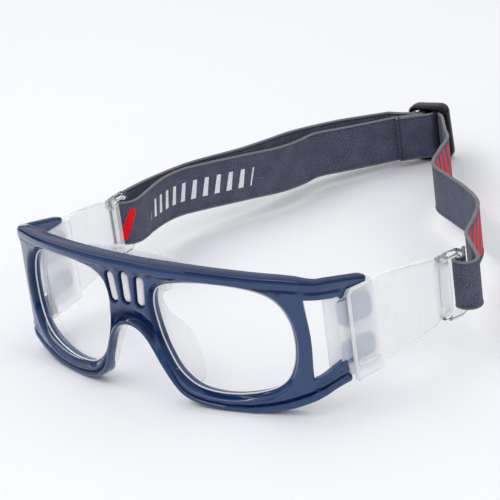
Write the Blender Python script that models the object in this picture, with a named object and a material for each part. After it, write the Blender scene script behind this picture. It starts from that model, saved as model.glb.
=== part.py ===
"""Sports protective goggles: wrap-around frame, flexible temples and an elastic head strap.

Frame of the model: +X to the goggles' right-hand side as seen from the front, -Y forward,
+Z up. Lengths below are millimetres and are turned into metres when a mesh is made.
The goggles stand on the two lens rims and on the strap slider.
"""
import math

import bpy
import bmesh
from mathutils import Vector
from mathutils.geometry import delaunay_2d_cdt

MM = 0.001
GAP = 0.3                      # clearance between pieces that touch

# Middle of the goggles' footprint, measured from the centre of the brow bar's face
FOOTPRINT_CENTRE = (-3.86, 118.81)

# Plan view of the frame: a shallow parabola across the face, a corner, then a straight arm
FACE_CURVE = 0.0034            # y = FACE_CURVE * x * x
CORNER_X = 61.5
CORNER_RADIUS = 9.0
ARM_HEADING = math.radians(80.0)

FACE_DEPTH = 5.2               # front to back of the rims
ARM_DEPTH = 3.0
BROW_STEP = 1.0                # how far the brow bar stands proud of the rims
BROW_HEIGHT = 5.5

LENS_THICKNESS = 2.0
LENS_SETBACK = 1.8

PAD_THICKNESS = 1.8
PAD_FLARE = 9.0                # how far the nose pads sweep back

CLIP_WALL = 1.5
CLIP_FRONT = 80.8              # distances along the plan path, from the centre of the bridge
CLIP_FLANGE = 74.5
CLIP_BACK = 92.6
CLIP_BOTTOM = 7.4
CLIP_TOP = 38.1
POST_BACK = 90.2

TEMPLE_THICKNESS = 2.2
TEMPLE_BEVEL = 0.8             # front edge, cut back so that the arm can turn inward
SLEEVE_AT = 123.0              # the ring's pivot, inside the temple's rear sleeve
SLEEVE_RADIUS = 2.7
SLEEVE_BORE = 1.5
SLEEVE_SLOT = math.radians(50.0)

RING_ROD = 1.15
RING_LENGTH = 9.0
RING_BOTTOM = 12.9
RING_TOP = 34.0
RING_CORNER = 2.6

STRAP_WIDTH = 19.2
STRAP_THICKNESS = 1.4
STRAP_EYE_WIDTH = 17.0
STRAP_SLOPE = -0.074           # the strap drops towards the back of the head
STRAP_HEIGHT = 28.6            # height of its middle, carried forward to y = 0

SLIDER_AT = (-48.0, 233.0)
SLIDER_HEADING = math.radians(14.0)
SLIDER_SIZE = (17.0, 22.6, 3.0)    # along the strap, tall, thick
SLIDER_SLOT = (4.6, 20.4)
SLIDER_SLOT_AT = 3.6

COLOURS = {
    "navy_plastic": (0.012, 0.030, 0.110, 1.0),
    "clear_plastic": (0.80, 0.84, 0.88, 0.35),
    "silicone": (0.80, 0.82, 0.82, 1.0),
    "frosted_plastic": (0.82, 0.84, 0.86, 1.0),
    "webbing": (0.060, 0.060, 0.095, 1.0),
    "black_plastic": (0.010, 0.010, 0.012, 1.0),
}
ROUGHNESS = {
    "navy_plastic": 0.15,
    "clear_plastic": 0.05,
    "silicone": 0.45,
    "frosted_plastic": 0.35,
    "webbing": 0.90,
    "black_plastic": 0.20,
}


def material(name):
    """The Principled material of that name, made the first time it is asked for."""
    found = bpy.data.materials.get(name)
    if found:
        return found
    made = bpy.data.materials.new(name)
    made.use_nodes = True
    shader = made.node_tree.nodes["Principled BSDF"]
    shader.inputs["Base Color"].default_value = COLOURS[name]
    shader.inputs["Roughness"].default_value = ROUGHNESS[name]
    shader.inputs["Metallic"].default_value = 0.0
    shader.inputs["Alpha"].default_value = COLOURS[name][3]
    return made


def add_piece(name, points, faces, material_name, parent, pivot=(0.0, 0.0)):
    """A closed mesh object with its origin over the plan point pivot."""
    mesh = bpy.data.meshes.new(name)
    scaled = [((x - pivot[0]) * MM, (y - pivot[1]) * MM, z * MM) for x, y, z in points]
    mesh.from_pydata(scaled, [], faces)
    work = bmesh.new()
    work.from_mesh(mesh)
    bmesh.ops.triangulate(work, faces=[f for f in work.faces if len(f.verts) > 3])
    bmesh.ops.recalc_face_normals(work, faces=work.faces)
    work.to_mesh(mesh)
    work.free()
    mesh.materials.append(material(material_name))
    piece = bpy.data.objects.new(name, mesh)
    bpy.context.scene.collection.objects.link(piece)
    piece.parent = parent
    piece.location = (pivot[0] * MM, pivot[1] * MM, 0.0)
    return piece


# ---------------------------------------------------------------- curves

def smooth_curve(points, per_span, closed=False):
    """Catmull-Rom curve through the points, with per_span steps between two of them."""
    count = len(points)
    spans = count if closed else count - 1
    curve = []
    for i in range(spans):
        if closed:
            p0, p1, p2, p3 = (points[(i + k) % count] for k in (-1, 0, 1, 2))
        else:
            p0, p1, p2, p3 = (points[min(max(i + k, 0), count - 1)] for k in (-1, 0, 1, 2))
        for step in range(per_span):
            t = step / per_span
            curve.append(tuple(
                0.5 * (2 * b + (c - a) * t + (2 * a - 5 * b + 4 * c - d) * t * t
                       + (3 * b - a - 3 * c + d) * t * t * t)
                for a, b, c, d in zip(p0, p1, p2, p3)))
    if not closed:
        curve.append(tuple(points[-1]))
    return curve


def inside(point, outline):
    """Whether a plane point lies inside a closed outline."""
    x, z = point
    result = False
    previous = outline[-1]
    for current in outline:
        if (current[1] > z) != (previous[1] > z):
            cross = (previous[0] - current[0]) * (z - current[1])
            if x < cross / (previous[1] - current[1]) + current[0]:
                result = not result
        previous = current
    return result


def distance_to(point, outline):
    """Distance from a plane point to the nearest edge of a closed outline."""
    p = Vector(point)
    best = math.inf
    previous = Vector(outline[-1])
    for corner in outline:
        current = Vector(corner)
        edge = current - previous
        t = max(0.0, min(1.0, (p - previous).dot(edge) / max(edge.length_squared, 1e-12)))
        best = min(best, (p - previous - edge * t).length)
        previous = current
    return best


def shrink(outline, distance):
    """A closed outline moved inwards by a distance."""
    count = len(outline)
    turn = sum(outline[i - 1][0] * outline[i][1] - outline[i][0] * outline[i - 1][1]
               for i in range(count))
    side = 1.0 if turn > 0 else -1.0
    moved = []
    for i in range(count):
        along = Vector(outline[(i + 1) % count]) - Vector(outline[i - 1])
        along.normalize()
        moved.append((outline[i][0] - along.y * distance * side,
                      outline[i][1] + along.x * distance * side))
    return moved


def blend(value, low, high):
    """0 below low, 1 above high, smooth between."""
    t = max(0.0, min(1.0, (value - low) / (high - low)))
    return t * t * (3.0 - 2.0 * t)


# ---------------------------------------------------------------- plan path of the frame

FACE_HEADING = math.atan(2.0 * FACE_CURVE * CORNER_X)
FACE_LENGTH = CORNER_X + 2.0 / 3.0 * FACE_CURVE ** 2 * CORNER_X ** 3
CORNER_LENGTH = CORNER_RADIUS * (ARM_HEADING - FACE_HEADING)


def plan(s):
    """Plan point and inward normal at distance s along the outer face of the frame."""
    distance = abs(s)
    if distance <= FACE_LENGTH:
        x = distance
        for _ in range(4):
            x = distance - 2.0 / 3.0 * FACE_CURVE ** 2 * x ** 3
        y = FACE_CURVE * x * x
        heading = math.atan(2.0 * FACE_CURVE * x)
    else:
        bend = min(distance - FACE_LENGTH, CORNER_LENGTH)
        heading = FACE_HEADING + bend / CORNER_RADIUS
        straight = distance - FACE_LENGTH - bend
        x = (CORNER_X + CORNER_RADIUS * (math.sin(heading) - math.sin(FACE_HEADING))
             + straight * math.cos(heading))
        y = (FACE_CURVE * CORNER_X ** 2
             + CORNER_RADIUS * (math.cos(FACE_HEADING) - math.cos(heading))
             + straight * math.sin(heading))
    side = 1.0 if s >= 0 else -1.0
    return x * side, y, -math.sin(heading) * side, math.cos(heading)


def on_frame(s, depth, z):
    """World point at distance s along the frame, depth behind its face, height z."""
    x, y, nx, ny = plan(s)
    return x + nx * depth, y + ny * depth, z


# ---------------------------------------------------------------- solids

def plate(outline, holes, front, back, spacing):
    """Closed solid over an outline with holes; front and back map (s, z) to 3-D points."""
    corners = [Vector(p) for p in outline]
    edges = [(i, (i + 1) % len(outline)) for i in range(len(outline))]
    for hole in holes:
        start = len(corners)
        corners += [Vector(p) for p in hole]
        edges += [(start + i, start + (i + 1) % len(hole)) for i in range(len(hole))]
    low_s, high_s = min(p[0] for p in outline), max(p[0] for p in outline)
    low_z, high_z = min(p[1] for p in outline), max(p[1] for p in outline)
    for row in range(1, int((high_z - low_z) / spacing) + 1):
        z = low_z + row * spacing
        for column in range(int((high_s - low_s) / spacing) + 1):
            s = low_s + (column + 0.5 * (row % 2)) * spacing
            clear = [distance_to((s, z), ring) for ring in [outline] + holes]
            if min(clear) < 0.45 * spacing or not inside((s, z), outline):
                continue
            if not any(inside((s, z), hole) for hole in holes):
                corners.append(Vector((s, z)))
    flat, _, triangles, _, _, _ = delaunay_2d_cdt(corners, edges, [], 0, 1e-5)
    kept = []
    for triangle in triangles:
        middle = sum((flat[i] for i in triangle), Vector((0.0, 0.0))) / 3.0
        if inside(middle, outline) and not any(inside(middle, hole) for hole in holes):
            kept.append(tuple(triangle))
    count = len(flat)
    points = [front(p[0], p[1]) for p in flat] + [back(p[0], p[1]) for p in flat]
    directed = {(t[i], t[(i + 1) % 3]) for t in kept for i in range(3)}
    faces = list(kept) + [tuple(i + count for i in reversed(t)) for t in kept]
    for a, b in sorted(directed):
        if (b, a) not in directed:
            faces.append((b, a, a + count, b + count))
    used = sorted({i for face in faces for i in face})
    renumber = {old: new for new, old in enumerate(used)}
    return [points[i] for i in used], [tuple(renumber[i] for i in face) for face in faces]


def prism(profile, bottom, top):
    """Closed solid over a plan profile of (x, y); bottom and top give heights by index."""
    count = len(profile)
    points = [(x, y, bottom(i)) for i, (x, y) in enumerate(profile)]
    points += [(x, y, top(i)) for i, (x, y) in enumerate(profile)]
    faces = [tuple(reversed(range(count))), tuple(range(count, 2 * count))]
    for i in range(count):
        j = (i + 1) % count
        faces.append((i, j, j + count, i + count))
    return points, faces


def loft(sections, closed=False):
    """Closed solid through rings of points of equal length."""
    size = len(sections[0])
    points = [p for ring in sections for p in ring]
    faces = []
    for i in range(len(sections) if closed else len(sections) - 1):
        j = (i + 1) % len(sections)
        for k in range(size):
            m = (k + 1) % size
            faces.append((i * size + k, i * size + m, j * size + m, j * size + k))
    if not closed:
        faces.append(tuple(reversed(range(size))))
        faces.append(tuple(range((len(sections) - 1) * size, len(sections) * size)))
    return points, faces


def band(route, width):
    """Strap section along a plan route; width gives its width at a fraction of the route."""
    half = STRAP_THICKNESS / 2.0
    sections = []
    for i, (x, y) in enumerate(route):
        ahead = Vector(route[min(i + 1, len(route) - 1)]) - Vector(route[max(i - 1, 0)])
        ahead.normalize()
        side = (-ahead.y * half, ahead.x * half)
        middle = STRAP_HEIGHT + STRAP_SLOPE * y
        reach = width(i / (len(route) - 1)) / 2.0
        sections.append([(x - side[0], y - side[1], middle - reach),
                         (x + side[0], y + side[1], middle - reach),
                         (x + side[0], y + side[1], middle + reach),
                         (x - side[0], y - side[1], middle + reach)])
    return loft(sections)


# ---------------------------------------------------------------- outlines, in (s, z)

LENS_OPENING = [(10.3, 34.5), (13.8, 40.5), (26.0, 42.9), (42.0, 42.5), (54.2, 39.0),
                (60.0, 30.0), (59.7, 17.5), (54.0, 9.2), (40.0, 5.6), (26.0, 6.6),
                (17.6, 11.2), (13.2, 22.6)]
SIDE_WINDOW = [(65.2, 38.8), (76.0, 37.6), (78.6, 35.6), (78.8, 17.2), (77.6, 15.0),
               (72.0, 13.8), (66.4, 12.4), (65.6, 14.0), (66.6, 25.0)]
TOP_EDGE = [(0.0, 48.4), (20.0, 48.2), (38.0, 47.5), (50.5, 46.8), (63.0, 46.0),
            (72.5, 45.0), (81.0, 43.3), (88.0, 41.9)]
ARM_TIP = [(90.8, 41.0), (91.2, 39.6), (90.6, 38.5)]
POST_EDGE = [(POST_BACK, 38.4), (POST_BACK, 9.2), (89.0, 7.8)]
LOWER_EDGE = [(80.0, 7.5), (72.0, 6.8), (65.0, 4.6), (58.0, 2.2), (51.0, 0.7)]
FOOT = [(44.0, 0.0), (34.0, 0.0)]
NOSE_EDGE = [(28.0, 0.5), (21.5, 1.9), (16.0, 4.2), (12.0, 8.2), (9.2, 13.8),
             (7.2, 19.2), (4.4, 23.6)]
NOSE_TOP = 25.5
VENT_HALF_WIDTH = 1.75
VENTS = [((-6.6, 41.4), (-5.9, 34.4)), ((0.0, 42.2), (0.0, 34.8)), ((6.6, 41.4), (5.9, 34.4))]


def mirrored(outline):
    """The same outline on the other side of the goggles."""
    return [(-s, z) for s, z in reversed(outline)]


def frame_outline():
    """Outer outline of the whole frame."""
    right = smooth_curve(TOP_EDGE, 4)[1:] + ARM_TIP + POST_EDGE
    right += smooth_curve(LOWER_EDGE, 3) + FOOT + smooth_curve(NOSE_EDGE, 3)
    return [TOP_EDGE[0]] + right + [(0.0, NOSE_TOP)] + mirrored(right)


def slot(top, bottom, radius, steps=6):
    """Outline of a slot with round ends."""
    axis = (Vector(top) - Vector(bottom)).normalized()
    across = Vector((axis.y, -axis.x))
    points = []
    for end, direction in ((Vector(top), 1.0), (Vector(bottom), -1.0)):
        for i in range(steps + 1):
            angle = math.pi * i / steps
            points.append(tuple(end + (across * math.cos(angle) + axis * math.sin(angle))
                                * radius * direction))
    return points


# ---------------------------------------------------------------- pieces

def brow_top(s):
    """Height of the frame's upper edge at distance s."""
    distance = abs(s)
    edge = TOP_EDGE + ARM_TIP[:1]
    for (s0, z0), (s1, z1) in zip(edge, edge[1:]):
        if distance <= s1:
            return z0 + (z1 - z0) * (distance - s0) / (s1 - s0)
    return edge[-1][1]


def frame_face(s, z):
    """Front surface: the brow bar stands proud of the rims."""
    bar = blend(z, brow_top(s) - BROW_HEIGHT - 0.8, brow_top(s) - BROW_HEIGHT + 0.8)
    fade = 1.0 - blend(abs(s), 50.0, 68.0)
    return on_frame(s, -BROW_STEP * bar * fade, z)


def frame_back(s, z):
    """Rear surface: the arms are thinner than the rims."""
    depth = FACE_DEPTH + (ARM_DEPTH - FACE_DEPTH) * blend(abs(s), 61.0, 71.0)
    return on_frame(s, depth, z)


def build_frame(parent):
    opening = smooth_curve(LENS_OPENING, 4, closed=True)
    window = smooth_curve(SIDE_WINDOW, 2, closed=True)
    holes = [opening, mirrored(opening), window, mirrored(window)]
    holes += [slot(top, bottom, VENT_HALF_WIDTH) for top, bottom in VENTS]
    points, faces = plate(frame_outline(), holes, frame_face, frame_back, 3.4)
    add_piece("front_frame", points, faces, "navy_plastic", parent)
    for side, outline in (("right", opening), ("left", mirrored(opening))):
        points, faces = plate(
            shrink(outline, GAP), [],
            lambda s, z: on_frame(s, LENS_SETBACK, z),
            lambda s, z: on_frame(s, LENS_SETBACK + LENS_THICKNESS, z), 7.0)
        add_piece("lens_" + side, points, faces, "clear_plastic", parent)


PAD_RIGHT = [(9.0, 50.7), (18.0, 49.6), (25.5, 47.6), (26.0, 45.2), (17.0, 44.6), (10.8, 41.5),
             (9.2, 36.0), (10.4, 29.0), (15.0, 22.0), (20.0, 13.0), (22.0, 7.0), (19.5, 4.6),
             (14.6, 7.6), (10.8, 13.0), (8.9, 19.0), (5.8, 24.6)]
PAD_TOP = 51.2
PAD_ARCH = 27.2


def pad_depth(s, z):
    """How far the silicone lies behind the frame's face: flat at the brow, flared below."""
    low = 1.0 - blend(z, 18.0, 34.0)
    inner_edge = 9.0 + max(0.0, 15.0 - z) * 0.55
    spread = max(0.0, min(1.0, (abs(s) - inner_edge) / 9.5))
    return FACE_DEPTH + GAP + PAD_FLARE * low * spread


def build_pad(parent):
    right = smooth_curve(PAD_RIGHT, 2)
    outline = [(0.0, PAD_TOP)] + right + [(0.0, PAD_ARCH)] + mirrored(right)
    points, faces = plate(
        outline, [],
        lambda s, z: on_frame(s, pad_depth(s, z), z),
        lambda s, z: on_frame(s, pad_depth(s, z) + PAD_THICKNESS, z), 3.6)
    add_piece("nose_bridge_pad", points, faces, "silicone", parent)


def build_clip(side, sign, parent):
    """Fork of the temple that grips the post at the end of the frame's arm."""
    outside = -GAP - CLIP_WALL
    inside_wall = ARM_DEPTH + GAP + CLIP_WALL
    profile = [(CLIP_FRONT, outside), (CLIP_BACK, outside), (CLIP_BACK, inside_wall),
               (CLIP_FLANGE, inside_wall), (CLIP_FLANGE, ARM_DEPTH + GAP),
               (POST_BACK + GAP, ARM_DEPTH + GAP), (POST_BACK + GAP, -GAP), (CLIP_FRONT, -GAP)]
    shape = [on_frame(s * sign, depth, 0.0)[:2] for s, depth in profile]
    points, faces = prism(shape, lambda i: CLIP_BOTTOM, lambda i: CLIP_TOP)
    add_piece("temple_clip_" + side, points, faces, "frosted_plastic", parent)


TEMPLE_TOP = [(93.0, 38.8), (107.0, 37.1), (115.0, 36.0), (119.0, 35.2), (122.0, 32.4),
              (126.0, 32.2)]
TEMPLE_BOTTOM = [(93.0, 8.6), (103.0, 10.7), (112.0, 11.8), (118.0, 12.6), (121.5, 15.2),
                 (126.0, 15.4)]


def along(edge, s):
    """Height of an edge of (s, z) points at distance s."""
    for (s0, z0), (s1, z1) in zip(edge, edge[1:]):
        if s <= s1:
            return z0 + (z1 - z0) * max(0.0, (s - s0)) / (s1 - s0)
    return edge[-1][1]


def build_temple(side, sign, parent, pivot):
    """Flexible side arm; its rear edge is rolled into an open sleeve for the ring's rod."""
    middle = TEMPLE_THICKNESS / 2.0
    start = CLIP_BACK + GAP
    stations = [start, 98.0, 103.0, 107.0, 112.0, 115.0, 118.0, 120.4]
    outer = [(s, 0.0) for s in stations]
    inner = [(s, TEMPLE_THICKNESS) for s in reversed(stations[1:])]
    inner.append((start + TEMPLE_BEVEL, TEMPLE_THICKNESS))
    shell = []
    sweep_from = math.pi + math.asin(middle / SLEEVE_RADIUS)
    sweep_to = math.radians(180.0) - SLEEVE_SLOT + 2.0 * math.pi
    for radius, steps in ((SLEEVE_RADIUS, range(13)), (SLEEVE_BORE, range(12, -1, -1))):
        for i in steps:
            angle = sweep_from + (sweep_to - sweep_from) * i / 12.0
            if radius == SLEEVE_BORE and i == 0:
                angle = math.radians(190.0)
            shell.append((SLEEVE_AT + radius * math.cos(angle),
                          middle + radius * math.sin(angle)))
    profile = outer[:-1] + shell + inner
    shape = [on_frame(s * sign, depth, 0.0)[:2] for s, depth in profile]
    points, faces = prism(shape, lambda i: along(TEMPLE_BOTTOM, profile[i][0]),
                          lambda i: along(TEMPLE_TOP, profile[i][0]))
    add_piece("temple_" + side, points, faces, "frosted_plastic", parent, pivot)


def build_ring(side, sign, parent, pivot):
    """Rounded rectangular rod loop that joins the temple to the strap."""
    middle = TEMPLE_THICKNESS / 2.0
    corners = []
    box = ((SLEEVE_AT, RING_BOTTOM), (SLEEVE_AT + RING_LENGTH, RING_BOTTOM),
           (SLEEVE_AT + RING_LENGTH, RING_TOP), (SLEEVE_AT, RING_TOP))
    for k, (s, z) in enumerate(box):
        centre = (s + (RING_CORNER if k in (0, 3) else -RING_CORNER),
                  z + (RING_CORNER if k in (0, 1) else -RING_CORNER))
        for i in range(5):
            angle = math.radians(180.0 + 90.0 * k + 22.5 * i)
            corners.append((centre[0] + RING_CORNER * math.cos(angle),
                            centre[1] + RING_CORNER * math.sin(angle), angle))
    sections = []
    for s, z, angle in corners:
        ring = []
        for i in range(8):
            turn = math.tau * i / 8
            out = RING_ROD * math.cos(turn)
            ring.append(on_frame((s + out * math.cos(angle)) * sign,
                                 middle + RING_ROD * math.sin(turn),
                                 z + out * math.sin(angle)))
        sections.append(ring)
    points, faces = loft(sections, closed=True)
    add_piece("strap_ring_" + side, points, faces, "clear_plastic", parent, pivot)


# Plan routes of the strap, as hand-placed points that a smooth curve runs through
EYE_RIGHT = [(69.4, 89.6), (72.2, 84.6), (73.4, 79.6), (74.4, 76.6), (76.8, 75.5), (79.5, 75.8),
             (81.1, 78.4), (80.2, 82.2), (76.6, 86.6), (72.2, 91.2)]
EYE_LEFT = [(-86.9, 91.0), (-85.0, 84.6), (-82.4, 78.8), (-79.8, 75.8), (-76.8, 75.4),
            (-74.4, 76.6), (-73.5, 80.0), (-74.8, 85.0), (-77.6, 91.0)]
RUN_RIGHT = [(71.9, 91.5), (67.0, 96.4), (61.0, 103.4), (54.6, 117.0), (45.4, 132.8),
             (31.6, 145.6), (18.6, 156.8), (3.4, 168.4), (-8.6, 184.0), (-18.0, 200.0),
             (-26.0, 211.6), (-31.6, 220.0)]
RUN_OUTER = [(-87.0, 91.4), (-88.4, 103.0), (-88.8, 118.0), (-87.6, 132.0), (-83.6, 152.0),
             (-82.6, 169.0), (-81.8, 184.0), (-76.0, 203.5), (-69.6, 215.6), (-64.0, 225.0)]
RUN_INNER = [(-77.8, 91.4), (-82.6, 104.0), (-84.6, 115.0), (-82.8, 125.0), (-75.6, 145.0),
             (-70.0, 160.0), (-69.4, 172.0), (-70.6, 184.0), (-66.0, 195.0), (-61.2, 206.0),
             (-58.0, 214.0)]


def run_width(fraction):
    """Full width along the head, narrower where the strap gathers at a ring."""
    return STRAP_EYE_WIDTH + (STRAP_WIDTH - STRAP_EYE_WIDTH) * blend(fraction, 0.0, 0.25)


def build_straps(frame, rings):
    for name, route in (("strap_right", RUN_RIGHT), ("strap_outer_left", RUN_OUTER),
                        ("strap_inner_left", RUN_INNER)):
        points, faces = band(smooth_curve(route, 4), run_width)
        add_piece(name, points, faces, "webbing", frame)
    for name, route, (ring, pivot) in (("strap_eye_right", EYE_RIGHT, rings["right"]),
                                       ("strap_eye_left", EYE_LEFT, rings["left"])):
        points, faces = band(smooth_curve(route, 4), lambda fraction: STRAP_EYE_WIDTH)
        add_piece(name, points, faces, "webbing", ring, pivot)


def on_slider(u, v):
    """Plan point u along the slider and v behind its middle plane."""
    c, s = math.cos(SLIDER_HEADING), math.sin(SLIDER_HEADING)
    return SLIDER_AT[0] + u * c - v * s, SLIDER_AT[1] + u * s + v * c


# Routes through the slider, as (along, behind) its middle
WEAVE = [(-17.0, -3.6), (-12.5, -3.9), (-8.6, -3.4), (-5.3, -2.6), (-4.3, -0.8), (-4.25, 1.2),
         (-3.5, 3.4), (-1.8, 4.6), (0.0, 4.85), (1.8, 4.6), (3.5, 3.4), (4.25, 1.2),
         (4.3, -0.8), (5.3, -2.6), (7.4, -5.4), (9.8, -10.0), (12.6, -16.2)]
FOLD = [(-14.1, -15.7), (-11.5, -12.2), (-8.0, -8.8), (-4.6, -5.6), (-2.7, -2.8), (-2.35, 0.2),
        (-2.0, 2.2), (0.0, 2.85), (2.0, 2.2), (2.35, 0.2), (1.6, -3.2), (-0.6, -5.2),
        (-4.2, -8.2), (-7.6, -11.4)]


def build_slider(parent, pivot):
    width, height, thick = SLIDER_SIZE
    outline = [(-width / 2, 0.9), (-width / 2 + 0.9, 0.0), (width / 2 - 0.9, 0.0),
               (width / 2, 0.9), (width / 2, height - 0.9), (width / 2 - 0.9, height),
               (-width / 2 + 0.9, height), (-width / 2, height - 0.9)]
    holes = []
    for sign in (-1.0, 1.0):
        holes.append([(sign * SLIDER_SLOT_AT + dx * SLIDER_SLOT[0] / 2,
                       height / 2 + dz * SLIDER_SLOT[1] / 2)
                      for dx, dz in ((-1, -1), (1, -1), (1, 1), (-1, 1))])
    points, faces = plate(outline, holes,
                          lambda u, z: (*on_slider(u, -thick / 2), z),
                          lambda u, z: (*on_slider(u, thick / 2), z), 6.0)
    add_piece("strap_slider", points, faces, "black_plastic", parent, pivot)
    for name, local in (("strap_weave", WEAVE), ("strap_fold", FOLD)):
        route = [on_slider(u, v) for u, v in smooth_curve(local, 3)]
        points, faces = band(route, lambda fraction: STRAP_WIDTH)
        add_piece(name, points, faces, "webbing", parent, pivot)


def main():
    for existing in list(bpy.data.objects):
        bpy.data.objects.remove(existing, do_unlink=True)
    goggles = bpy.data.objects.new("goggles", None)
    bpy.context.scene.collection.objects.link(goggles)
    goggles.location = (-FOOTPRINT_CENTRE[0] * MM, -FOOTPRINT_CENTRE[1] * MM, 0.0)
    build_frame(goggles)
    build_pad(goggles)
    rings = {}
    for side, sign in (("right", 1.0), ("left", -1.0)):
        build_clip(side, sign, goggles)
        hinge = on_frame((CLIP_BACK + GAP / 2.0) * sign, TEMPLE_THICKNESS / 2.0, 0.0)[:2]
        build_temple(side, sign, goggles, hinge)
        rod = on_frame(SLEEVE_AT * sign, TEMPLE_THICKNESS / 2.0, 0.0)[:2]
        build_ring(side, sign, goggles, rod)
        rings[side] = (goggles, rod)
    build_straps(goggles, rings)
    build_slider(goggles, SLIDER_AT)


main()
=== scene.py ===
"""Sports protective goggles: the finished look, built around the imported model."""

import math

import bpy
import bmesh
import numpy as np
from mathutils import Matrix, Vector
from mathutils.geometry import delaunay_2d_cdt

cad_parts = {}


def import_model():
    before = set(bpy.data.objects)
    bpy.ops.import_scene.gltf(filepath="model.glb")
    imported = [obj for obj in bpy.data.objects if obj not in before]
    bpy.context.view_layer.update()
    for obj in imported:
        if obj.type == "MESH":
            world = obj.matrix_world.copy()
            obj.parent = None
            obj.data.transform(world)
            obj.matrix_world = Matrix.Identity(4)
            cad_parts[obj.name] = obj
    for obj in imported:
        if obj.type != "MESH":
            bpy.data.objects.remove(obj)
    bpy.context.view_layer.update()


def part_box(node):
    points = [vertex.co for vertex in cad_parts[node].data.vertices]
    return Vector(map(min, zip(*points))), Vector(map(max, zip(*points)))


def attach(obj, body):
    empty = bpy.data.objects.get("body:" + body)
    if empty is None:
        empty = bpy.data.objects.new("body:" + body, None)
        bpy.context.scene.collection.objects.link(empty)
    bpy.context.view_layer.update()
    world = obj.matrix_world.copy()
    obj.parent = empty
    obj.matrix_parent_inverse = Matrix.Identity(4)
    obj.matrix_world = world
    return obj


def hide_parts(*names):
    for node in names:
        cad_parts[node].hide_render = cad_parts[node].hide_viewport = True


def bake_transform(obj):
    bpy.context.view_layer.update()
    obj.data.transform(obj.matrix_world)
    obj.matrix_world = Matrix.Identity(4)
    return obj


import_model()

MM = 0.001

# The goggles' own origin: the centre of the rims' face, on the floor, found from the CAD frame
FRAME_LOW, FRAME_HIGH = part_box("front_frame")
BROW_STEP = 1.0
ORIGIN = np.array([(FRAME_LOW.x + FRAME_HIGH.x) / 2, FRAME_LOW.y + BROW_STEP * MM, 0.0])

# Plan path of the frame, as in the CAD model (millimetres)
FACE_CURVE = 0.0034
CORNER_X = 61.5
CORNER_RADIUS = 9.0
ARM_HEADING = math.radians(80.0)
FACE_HEADING = math.atan(2.0 * FACE_CURVE * CORNER_X)
FACE_LENGTH = CORNER_X + 2.0 / 3.0 * FACE_CURVE ** 2 * CORNER_X ** 3
CORNER_LENGTH = CORNER_RADIUS * (ARM_HEADING - FACE_HEADING)

FACE_DEPTH = 5.2
ARM_DEPTH = 3.0
SLEEVE_AT = 123.0
TEMPLE_THICKNESS = 2.2
SLEEVE_RADIUS = 2.7

STRAP_WIDTH = 19.2
STRAP_EYE_WIDTH = 17.0
STRAP_SLOPE = -0.074
STRAP_HEIGHT = 28.6
SLIDER_AT = (-48.0, 233.0)
SLIDER_HEADING = math.radians(14.0)
SLIDER_LEAN = 0.05
SLIDER_MIDDLE = 11.9
WALE, COURSE, RIB = 1.05, 0.8, 0.55
STITCH = 1.9
THREAD_RADIUS = 0.30


# ---- geometry in millimetres

def world(points):
    """Goggle millimetres to metres in the row frame."""
    return np.asarray(points, float) * MM + ORIGIN


def plan(s):
    """Plan points and inward normals at distances s along the frame's face."""
    s = np.asarray(s, float)
    distance = np.abs(s)
    x = np.minimum(distance, FACE_LENGTH)
    for _ in range(5):
        x = np.minimum(distance, FACE_LENGTH) - 2.0 / 3.0 * FACE_CURVE ** 2 * x ** 3
    turned = distance > FACE_LENGTH
    bend = np.clip(distance - FACE_LENGTH, 0.0, CORNER_LENGTH)
    heading = np.where(turned, FACE_HEADING + bend / CORNER_RADIUS,
                       np.arctan(2.0 * FACE_CURVE * x))
    straight = np.clip(distance - FACE_LENGTH - CORNER_LENGTH, 0.0, None)
    px = (x + turned * CORNER_RADIUS * (np.sin(heading) - math.sin(FACE_HEADING))
          + straight * np.cos(heading))
    py = (FACE_CURVE * x * x + turned * CORNER_RADIUS * (math.cos(FACE_HEADING) - np.cos(heading))
          + straight * np.sin(heading))
    side = np.where(s >= 0, 1.0, -1.0)
    return px * side, py, -np.sin(heading) * side, np.cos(heading)


def on_frame(s, depth, z):
    """Points at distance s along the frame, depth behind its face, height z."""
    x, y, nx, ny = plan(s)
    depth = np.broadcast_to(depth, np.shape(x))
    z = np.broadcast_to(z, np.shape(x))
    return np.stack([x + nx * depth, y + ny * depth, z], axis=-1)


def smooth_curve(points, per_span, closed=False):
    """Catmull-Rom curve through the points."""
    p = np.asarray(points, float)
    n = len(p)
    curve = []
    for i in range(n if closed else n - 1):
        near = np.arange(i - 1, i + 3)
        a, b, c, d = p[near % n if closed else near.clip(0, n - 1)]
        for t in np.arange(per_span) / per_span:
            curve.append(0.5 * (2 * b + (c - a) * t + (2 * a - 5 * b + 4 * c - d) * t * t
                                + (3 * b - a - 3 * c + d) * t ** 3))
    if not closed:
        curve.append(p[-1])
    return np.array(curve)


def step_lengths(path):
    return np.linalg.norm(np.diff(path, axis=0), axis=1)


def distances_along(path):
    """Distance of each point of a path from its start."""
    return np.concatenate([[0.0], np.cumsum(step_lengths(path))])


def resample(line, spacing, closed=False):
    """Evenly spaced points along a polyline."""
    p = np.asarray(line, float)
    if closed:
        p = np.vstack([p, p[:1]])
    length = distances_along(p)
    count = max(int(round(length[-1] / spacing)), 4)
    at = np.linspace(0.0, length[-1], count + 1)
    if closed:
        at = at[:-1]
    return np.stack([np.interp(at, length, p[:, k]) for k in range(p.shape[1])], axis=1)


def circle(count):
    """Evenly spaced angles round a full turn."""
    return np.linspace(0.0, math.tau, count, endpoint=False)


def unit(vectors):
    """Vectors scaled to length 1."""
    return vectors / np.linalg.norm(vectors, axis=1)[:, None]


def offset_loop(loop, distance):
    """A closed loop moved to its left by a distance."""
    ahead = np.roll(loop, -1, axis=0) - np.roll(loop, 1, axis=0)
    ahead /= np.linalg.norm(ahead, axis=1)[:, None] + 1e-12
    return loop + np.stack([-ahead[:, 1], ahead[:, 0]], axis=1) * distance


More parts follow.
